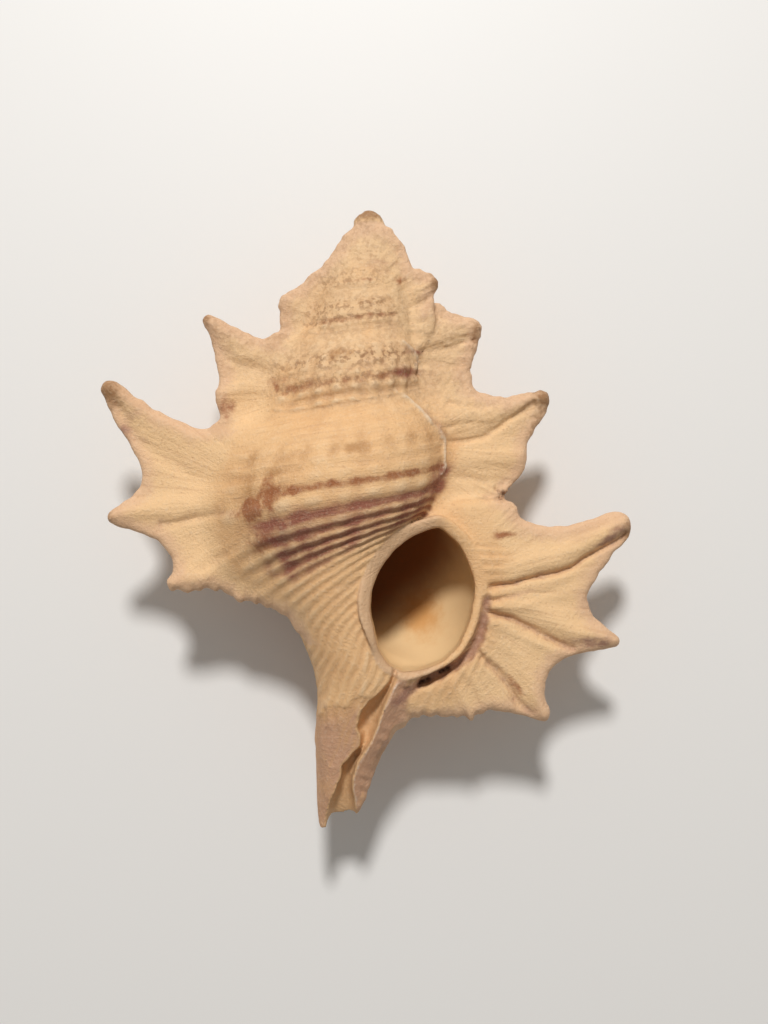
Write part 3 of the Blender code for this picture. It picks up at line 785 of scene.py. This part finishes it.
# ---------------------------------------------------------------------------------------------
# Where the colours lie. The snail laid purple, brown and ochre bands as it grew; since then sand has
# rubbed the spire pale and bared the tips of the spines. The grooves of the fins and by the lip are
# pinkish purple, partly stain and partly painted shade, and the deep hollow, the crevices below the lip
# and a few patches are darkened as painted shade.
PURPLE_BANDS = (
    # how far down the whorl's section, and how strong
    (2.6, 0.0), (3.4, 0.35), (4.8, 0.4), (5.7, 1.0), (13.0, 1.0), (14.6, 0.75), (16.0, 0.45), (17.6, 0.0),
)
BROWN_BANDS = ((1.0, 0.0), (1.6, 1.0), (2.3, 1.0), (3.0, 0.0))
OCHRE_BANDS = ((-5.4, 0.0), (-3.8, 1.0), (-2.4, 1.0), (-0.8, 0.0))
PATCHES = {
    # layer: x, y, half length, half width, slope in degrees, strength
    "brown": (
        (-11.3, 0.7, 1.7, 1.2, 30, 1.5), (-9.6, 2.0, 1.8, 1.0, 75, 1.4), (-14.2, 10.8, 1.3, 0.9, 70, 0.75),
        (-9.0, 13.2, 1.8, 1.2, 50, 0.6), (-7.2, 2.4, 1.4, 0.4, 12, 1.2), (-10.2, -2.4, 1.7, 1.1, 20, 1.1),
        (13.2, -1.8, 1.4, 0.45, 5, 0.9), (14.5, -16.9, 1.5, 0.6, -55, 0.8), (3.0, 23.4, 0.8, 0.6, 0, 0.9),
        (0.5, 14.9, 3.5, 0.7, 5, 0.35), (-5.5, 13.2, 2.6, 0.8, 18, 0.4),
    ),
    "purple": (
        (-8.3, -1.0, 1.3, 0.8, 30, 1.0), (-7.6, -3.2, 1.8, 1.1, 25, 1.0), (-6.9, -4.6, 1.2, 0.6, 25, 0.8),
        # The next three, on the body above the mouth, are partly the shell's purple stain and partly
        # painted shade.
        (6.6, 3.3, 2.4, 0.85, 56, 1.6), (5.2, 1.4, 1.6, 0.6, 30, 0.9), (6.9, 5.6, 1.0, 0.6, 80, 0.6),
        (1.2, 24.9, 1.9, 0.8, 5, 0.75), (4.3, 16.4, 1.2, 0.5, 0, 0.9), (3.4, 14.2, 1.7, 0.7, 4, 1.1),
    ),
    "ochre": (
        (-1.4, 6.8, 2.4, 0.9, 0, 1.0), (-5.6, 5.8, 1.5, 1.0, 0, 0.6), (-8.6, 4.4, 2.2, 1.8, 10, 1.0),
        (-11.4, 3.2, 1.6, 1.4, 10, 0.9),
    ),
    "mauve_and_painted_shade": (
        # The first of these, beside the old lip's rim on the body, is painted shade.
        (6.3, 9.4, 2.2, 0.5, -50, 0.9), (24.6, -1.9, 2.4, 0.9, 35, 1.3), (22.6, -12.7, 2.6, 0.8, -5, 1.2),
        (22.0, -8.5, 1.6, 0.8, 80, 1.0), (-24.6, 7.6, 3.0, 0.8, 66, 0.9), (5.4, 19.8, 1.2, 0.6, 20, 0.5),
    ),
    "tip": (
        (-25.7, 12.4, 1.9, 1.3, 120, 1.0), (-26.0, 0.0, 1.2, 1.0, 0, 0.5), (17.6, 11.9, 1.5, 1.3, 0, 1.0),
        (16.6, 9.4, 2.0, 0.5, 65, 0.6), (25.9, -1.4, 1.4, 0.9, 60, 0.8), (6.7, 23.4, 0.9, 0.9, 0, 1.0),
        (10.6, 18.3, 1.6, 0.6, 75, 0.8), (-16.4, 19.6, 1.0, 0.8, 0, 0.8), (-0.2, 30.6, 2.2, 1.25, 0, 1.3),
    ),
}
DOTTED_ROWS = ((-3.0, 2.2), (2.0, 1.6))
FIN_EDGE_STAIN = 2.6
HOLLOW_STAIN = (5.2, -10.2, 2.4, 2.6)
NECK_CORD_SCALE = 0.45
GROWTH_LENGTH = 168.0
RAY_LENGTH = 12.0

body_part = (1.0 - on_fin) * (1.0 - smooth_part) * (1.0 - off_whorl)
wander = 0.3 * lumps_here(1.4, 10) + 0.2 * lumps_here(0.6, 11)
mottle = 0.92 + 0.3 * lumps_here(1.6, 12)
laid = smooth_step(ahead + wavering, 0.0, 0.14) * body_part
spire_place = 2.0 + 0.6 * (cord_place - 2.2 + 2.0 * wander)
brown_place = np.where(on_spire, spire_place, cord_place + 0.4 * wander)
on_last_whorls = (nearest_whorl < 2) & (turns > 0.0)
# The purple is paler along each cord's crest, where it is worn, and that pale band is moved onto the
# cord's upper side, which the lamp lights: painted highlight.
lit_side = np.cos(math.tau * (cord_count + 0.12)) + 0.3 * lumps_here(0.8, 17)
worn_crest_and_painted_highlight = smooth_step(lit_side, 0.2, 1.0) * smooth_step(ahead, 0.02, 0.3)

# The purple bands fray out ahead of the left fin into brown ends, and the spire's bands are mottled.
purple = np.interp(cord_place + wander, *np.array(PURPLE_BANDS).T) * laid * on_last_whorls
purple = purple * smooth_step(2.02 - turns + (turns < 1.0), 0.0, 0.08)
ends = purple * near(ahead - 0.2, 0.07) * (turns < 1.0)
frayed = smooth_step(ahead + 0.06 * lumps_here(1.1, 31), 0.1, 0.27)
purple = purple * (0.95 - 0.1 * rib_wave) * (1.0 - 0.5 * worn_crest_and_painted_highlight) * frayed
brown = 1.1 * np.interp(brown_place, *np.array(BROWN_BANDS).T) * laid
brown = brown * (0.8 - 0.1 * rib_wave) * np.where(on_spire, 0.75, 1.0)
brown = brown * np.where(turns < 2.0, smooth_step(ahead, 0.1, 0.3), 1.0)
brown = np.maximum(brown, 1.4 * ends * (1.0 - 0.4 * worn_crest_and_painted_highlight))
ochre = np.interp(cord_place + wander + on_spire, *np.array(OCHRE_BANDS).T) * laid
spire_spots = 0.75 - 0.3 * rib_wave + 0.8 * lumps_here(0.9, 30)
ochre = ochre * np.where(turns < 2.0, 0.6 * (0.6 - 0.4 * rib_wave), 0.55 * spire_spots)
# Pinkish purple along the groove beside the lip and in the fins' grooves: partly stain, partly painted
# shade where the grooves lie in shadow.
mauve_and_painted_shade = near(sampled(groove_gap), 0.6) * smooth_step(pz, -1.5, 0.0)
for half_turns, outline, lines in FINS:
    for line, height, end_height, width, end_width in lines:
        if height < 0:
            gap, part = stroke(line, *wavered(px, py))
            in_groove = near(gap, 1.2 * width + 0.1) * smooth_step(pz, -2.5, -0.5)
            mauve_and_painted_shade = np.maximum(mauve_and_painted_shade, 0.6 * min(1.0, -1.6 * height) * in_groove * (1 - smooth_part))
layers = {"purple": purple * mottle, "brown": brown * mottle, "ochre": ochre * mottle}
layers["mauve_and_painted_shade"] = mauve_and_painted_shade
layers["tip"] = np.zeros(len(px))

for name, patches in PATCHES.items():
    broken = 1.0
    if name == "brown":
        broken = 0.75 + 0.5 * smooth_step(lumps(1.5 * px, 0.8 * py, pz, 0.6, 35), -0.45, 0.45)
    elif name != "tip":
        broken = (0.8 - 0.2 * cord_wave) * (0.9 + 0.5 * lumps_here(0.9, 34))
    if name != "tip":
        broken = broken * smooth_step(pz, -1.5, 0.5)
    for *oval, strength in patches:
        layers[name] = np.maximum(layers[name], strength * blot(*oval) * broken)
layers["brown"] = 1.15 * layers["brown"] - 0.15

layers["pitted"] = 1.75 * pitted - 1.0
layers["edge"] = on_fin * smooth_step(FIN_EDGE_STAIN - to_edge, 0.0, FIN_EDGE_STAIN)
neck = 0.8 * smooth_step(OLD_CANAL_END - py + flake_edge, -1.0, 5.0)
neck = neck + 0.3 * new_canal * lumps_here(1.5, 33)
neck = neck * (1.0 - smooth_part) * (px < 4.6) * (1.0 - on_fin * (px > 2.0))
on_flank = smooth_step(-sampled(flank_edge), 0.0, 0.4) * (pz > -1.0) * smooth_step(4.2 - px, 0.0, 1.0)
layers["neck"] = np.maximum(neck, on_flank)
layers["inside"] = in_hollow
# Darker brown deeper into the hollow and towards its upper side: painted shade.
layers["painted_hollow_shade"] = in_hollow * smooth_step(last_turns + 0.03 * (py + 8.0), 0.05, 0.42)
layers["lip"] = on_lip * (1.0 - in_hollow) * smooth_step(9.0 - px, 0.0, 4.0)
layers["canal"] = in_canal * (1.0 - on_lip)
layers["fin"] = on_fin
wall_rim = near(sampled(wall_gap), 0.16) * (pz > sampled(crest_height) - 0.5)
layers["scar"] = np.maximum(0.55 * old_lip, 0.7 * wall_rim)
# Dark brown in the small crevices below the lip: painted shade.
layers["crevice"] = near(sampled(crevice_gap), 0.24) * (pz > 0)
layers["spire"] = spire_part * (0.75 + 0.25 * lumps_here(2.0, 28)) * (1.0 - in_hollow)
dotted_row = sum(near(cord_place - middle, width) for middle, width in DOTTED_ROWS)
layers["dots"] = layers["spire"] * (0.3 + 0.9 * dotted_row * (1.0 - on_fin))
layers["stain"] = in_hollow * blot(*HOLLOW_STAIN)
apart = np.sort([tube for tube, turns in tubes], axis=0)
in_seam = near(apart[1] - apart[0], 0.5 * size) * body_part
layers["seam"] = np.maximum(in_seam, between_fins)
layers["crest"] = np.clip(0.5 + relief * 2.2, 0.0, 1.0)

# Lengths in mm down and along the whorls, and round and along the fins, for streaks that follow them.
layers["cord"] = cord_place * (size + (NECK_CORD_SCALE - size) * on_neck)
layers["growth"] = GROWTH_LENGTH * (1.0 - size)
layers["ray"] = ray * RAY_LENGTH
layers["reach"] = reach
for name, values in layers.items():
    mesh.attributes.new(name, "FLOAT", "POINT").data.foreach_set("value", values.astype(np.float32))

skin = bpy.data.objects.new("shell_skin", mesh)
bpy.context.scene.collection.objects.link(skin)
mesh.shade_smooth()
thinner = skin.modifiers.new("thinner", "DECIMATE")
thinner.ratio = MOST_TRIANGLES / (2 * len(quads) + len(triangles))
graph = bpy.context.evaluated_depsgraph_get()
skin.data = bpy.data.meshes.new_from_object(skin.evaluated_get(graph))
skin.modifiers.clear()
skin.data.shade_smooth()

# ---------------------------------------------------------------------------------------------
# Beach-worn shell: chalky calcium carbonate, grown in layers. Sand has rubbed it matt and dusty
# outside, with dirt left in the threads, and the snail left it as smooth as porcelain inside.
SHELL_CREAM = ("#E3AE76", "#F1C895")
NOISES = (
    # name, size in mm, detail, roughness
    ("clouds", 5.0, 4.0, 0.6),
    ("speckle", 1.1, 5.0, 0.7),
    ("fine speckle", 0.45, 1.5, 0.5),
    ("grain", 0.3, 4.0, 0.75),  # real chalk grain is finer, and would not show
)
STREAKS = (
    # name, what it crosses and its width in mm, what it follows and its length in mm, seed
    ("cord threads", "cord", 0.32, "growth", 5.0, 0.0),
    ("fin threads", "ray", 0.45, "reach", 7.0, 5.0),
    ("banding", "cord", 0.5, "growth", 1.6, 21.0),
    ("growth lines", "growth", 0.4, "cord", 4.0, 9.0),
    ("fin growth lines", "reach", 0.6, "ray", 6.0, 14.0),
)
LAYERS = (
    # attribute, colour, the noise its edge breaks up with, how far, and how much of it shows
    ("fin", "#F2CA98", "clouds", 0.8, 0.75),
    ("spire", "#DDBB93", "speckle", 1.0, 0.5),
    ("edge", "#DFB491", "speckle", 1.2, 0.7),
    ("neck", "#CB9C7E", "banding", 1.5, 0.8),
    ("ochre", "#B07C48", "speckle", 1.3, 0.7),
    ("brown", "#985227", "speckle", 1.6, 0.85),
    ("purple", "#925140", "banding", 0.6, 0.92),
    # Next: pinkish purple in the grooves, partly stain and partly painted shade.
    ("mauve_and_painted_shade", "#A07160", "speckle", 1.2, 0.8),
    # Painted shade in the crevices.
    ("crevice", "#5A3420", "fine speckle", 0.3, 0.9),
    ("pitted", "#7A4A34", "fine speckle", 2.2, 0.8),
    ("scar", "#F6E4CC", "fine speckle", 1.1, 0.85),
    ("seam", "#C49A72", "speckle", 0.9, 0.35),
    ("tip", "#94683F", "fine speckle", 0.9, 0.85),
    ("lip", "#DCB48C", "clouds", 0.3, 0.9),
    ("canal", "#DCB07F", "clouds", 0.3, 0.9),
    ("inside", "#EAC897", "clouds", 0.1, 1.0),
    ("stain", "#D2924C", "speckle", 0.9, 0.75),
    # Painted shade deep in the hollow.
    ("painted_hollow_shade", "#7A3F1C", "clouds", 0.3, 0.93),
)
CHALK_ROUGHNESS = 0.62
PORCELAIN_ROUGHNESS = 0.28
SHELL_SPECULAR = 0.4
PORE_SPACING = 0.5
THREAD_HEIGHT = 0.42
GROWTH_LINE_HEIGHT = 0.28
GRAIN_HEIGHT = 0.85
FINE_RELIEF = 0.17

material = bpy.data.materials.new("sea_shell_chalk")
material.use_nodes = True
tree = material.node_tree
surface = tree.nodes["Principled BSDF"]


def linear(hex_colour):
    """An sRGB colour as the linear one that a shader takes."""
    parts = [int(hex_colour[i : i + 2], 16) / 255 for i in (1, 3, 5)]
    return [p / 12.92 if p <= 0.04045 else ((p + 0.055) / 1.055) ** 2.4 for p in parts] + [1.0]


def node(kind, output, inputs, **settings):
    """Adds a shader node with its settings and links, and gives one of its outputs."""
    made = tree.nodes.new("ShaderNode" + kind)
    for name, value in settings.items():
        setattr(made, name, value)
    for name, value in inputs.items():
        if isinstance(value, bpy.types.NodeSocket):
            tree.links.new(value, made.inputs[name])
        else:
            made.inputs[name].default_value = value
    return made.outputs[output]


skin_map = {name: node("Attribute", "Fac", {}, attribute_name=name) for name in layers}
position = node("TexCoord", "Object", {})
pattern = {}
for name, noise_size, detail, roughness in NOISES:
    pattern[name] = node(
        "TexNoise", 0,
        {"Vector": position, "Scale": 1 / (noise_size * MM), "Detail": detail, "Roughness": roughness},
    )
for name, across, width, along, length, seed in STREAKS:
    crosswise = node("Math", 0, {0: skin_map[across], 1: 1 / width}, operation="MULTIPLY")
    lengthwise = node("Math", 0, {0: skin_map[along], 1: 1 / length}, operation="MULTIPLY")
    place_on_skin = node("CombineXYZ", 0, {"X": crosswise, "Y": lengthwise, "Z": seed})
    pattern[name] = node(
        "TexNoise", 0,
        {"Vector": place_on_skin, "Scale": 1.0, "Detail": 3.0, "Roughness": 0.6},
    )
threads = node(
    "Mix", 0,
    {0: skin_map["fin"], 2: pattern["cord threads"], 3: pattern["fin threads"]},
    data_type="FLOAT",
)
growth_lines = node(
    "Mix", 0,
    {0: skin_map["fin"], 2: pattern["growth lines"], 3: pattern["fin growth lines"]},
    data_type="FLOAT",
)
pores = node("TexVoronoi", "Distance", {"Vector": position, "Scale": 1 / (PORE_SPACING * MM)})
pores = node("Math", 0, {0: pattern["speckle"], 1: 0.9, 2: pores}, operation="MULTIPLY_ADD")
outside_share = node("Math", 0, {0: 1.0, 1: skin_map["inside"]}, operation="SUBTRACT")
worn = node("Math", 0, {0: skin_map["spire"], 1: 0.4}, operation="MULTIPLY")
worn = node("Math", 0, {0: skin_map["seam"], 1: worn}, operation="MAXIMUM")
unworn = node("Math", 0, {0: 1.0, 1: worn}, operation="SUBTRACT")
unworn = node("Math", 0, {0: outside_share, 1: unworn}, operation="MULTIPLY")

# One coat of colour over the next: dust on the crests and dirt with painted shade in the hollows, then
# the snail's own colours and their stains, with painted shade in grooves, crevices and the deep hollow,
# then dirt in the threads, pores, the spire's dots and chalk dust.
coats = [
    # what shows it, easing, where it starts, where it is full, how much of it shows, where, colour
    (skin_map["crest"], "LINEAR", 0.55, 0.95, 0.35, None, "#F6DFBA"),
    # Darker in the relief's hollows: partly dirt, partly painted shade.
    (skin_map["crest"], "LINEAR", 0.5, 0.1, 0.45, None, "#B07C52"),
]
for name, colour, noise, breakup, most in LAYERS:
    uneven = node("Math", 0, {0: pattern[noise], 1: breakup, 2: -breakup / 2}, operation="MULTIPLY_ADD")
    strength = node("Math", 0, {0: skin_map[name], 1: uneven}, operation="ADD")
    coats.append((strength, "SMOOTHSTEP", 0.1, 1.0, most, None, colour))
coats += [
    (threads, "LINEAR", 0.48, 0.3, 0.26, unworn, "#BC8A62"),
    (pores, "LINEAR", 0.66, 0.45, 0.35, outside_share, "#B78560"),
    (pattern["fine speckle"], "LINEAR", 0.48, 0.6, 0.7, skin_map["dots"], "#94653F"),
    (pattern["grain"], "LINEAR", 0.5, 0.75, 0.25, outside_share, "#F8E3C4"),
]
darker, lighter = (linear(colour) for colour in SHELL_CREAM)
skin_colour = node("Mix", 2, {0: pattern["clouds"], 6: darker, 7: lighter}, data_type="RGBA")
for shown_by, easing, start, full, most, where, colour in coats:
    shown = node(
        "MapRange", 0,
        {"Value": shown_by, "From Min": start, "From Max": full, "To Min": 0.0, "To Max": most},
        interpolation_type=easing,
    )
    if where is not None:
        shown = node("Math", 0, {0: shown, 1: where}, operation="MULTIPLY")
    skin_colour = node("Mix", 2, {0: shown, 6: skin_colour, 7: linear(colour)}, data_type="RGBA")
tree.links.new(skin_colour, surface.inputs["Base Color"])

roughness = node(
    "Mix", 0, {0: skin_map["inside"], 2: CHALK_ROUGHNESS, 3: PORCELAIN_ROUGHNESS}, data_type="FLOAT"
)
tree.links.new(roughness, surface.inputs["Roughness"])
surface.inputs["Specular IOR Level"].default_value = SHELL_SPECULAR
heights = node("Math", 0, {0: threads, 1: THREAD_HEIGHT}, operation="MULTIPLY")
heights = node("Math", 0, {0: growth_lines, 1: GROWTH_LINE_HEIGHT, 2: heights}, operation="MULTIPLY_ADD")
heights = node("Math", 0, {0: heights, 1: unworn}, operation="MULTIPLY")
heights = node("Math", 0, {0: pattern["grain"], 1: GRAIN_HEIGHT, 2: heights}, operation="MULTIPLY_ADD")
heights = node("Math", 0, {0: heights, 1: outside_share}, operation="MULTIPLY")
bump = node("Bump", "Normal", {"Height": heights, "Strength": 1.0, "Distance": FINE_RELIEF * MM})
tree.links.new(bump, surface.inputs["Normal"])
skin.data.materials.append(material)
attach(skin, "root")
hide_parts("shell")

# ---------------------------------------------------------------------------------------------
# The table top: a plain board with matt off-white paint, a camera straight above the shell, and one
# round soft lamp beyond the apex, in a room with pale walls.
FLOOR_SIDE = 3.0
FLOOR_PAINT = (0.8, 0.78, 0.75, 1.0)
VIEW_HEIGHT = 0.140
FRAME_HEIGHT = 0.1024
VIEW_OFFSET = (0.0014, 0.0005)
LAMP_DIAMETER = 0.075
LAMP_WATTS = 2.05
LAMP_PLACE = (-0.02, 0.3, 0.4)
ROOM_LIGHT = (1.0, 0.97, 0.93, 1.0)
ROOM_STRENGTH = 0.3

floor_mesh = bpy.data.meshes.new("floor")
floor_corners = [(a * FLOOR_SIDE, b * FLOOR_SIDE, 0) for a, b in ((-1, -1), (1, -1), (1, 1), (-1, 1))]
floor_mesh.from_pydata(floor_corners, [], [(0, 1, 2, 3)])
floor = bpy.data.objects.new("floor", floor_mesh)
bpy.context.scene.collection.objects.link(floor)
floor_material = bpy.data.materials.new("matt_paint")
floor_material.use_nodes = True
floor_material.node_tree.nodes["Principled BSDF"].inputs["Base Color"].default_value = FLOOR_PAINT
floor_mesh.materials.append(floor_material)

camera_data = bpy.data.cameras.new("camera")
camera_data.sensor_fit = "VERTICAL"
camera_data.angle_y = 2 * math.atan(FRAME_HEIGHT / 2 / VIEW_HEIGHT)
camera = bpy.data.objects.new("camera", camera_data)
camera.location = (place[0] + VIEW_OFFSET[0], place[1] + VIEW_OFFSET[1], REST_DEPTH * MM + VIEW_HEIGHT)
bpy.context.scene.collection.objects.link(camera)
bpy.context.scene.camera = camera

lamp_data = bpy.data.lights.new("lamp", "AREA")
lamp_data.shape = "DISK"
lamp_data.size = LAMP_DIAMETER
lamp_data.energy = LAMP_WATTS
lamp = bpy.data.objects.new("lamp", lamp_data)
lamp.location = LAMP_PLACE
lamp.rotation_euler = (-math.atan2(LAMP_PLACE[1], LAMP_PLACE[2]), 0, 0)
bpy.context.scene.collection.objects.link(lamp)

world = bpy.data.worlds.new("room")
world.use_nodes = True
world.node_tree.nodes["Background"].inputs["Color"].default_value = ROOM_LIGHT
world.node_tree.nodes["Background"].inputs["Strength"].default_value = ROOM_STRENGTH
bpy.context.scene.world = world
bpy.context.scene.view_settings.view_transform = "Standard"
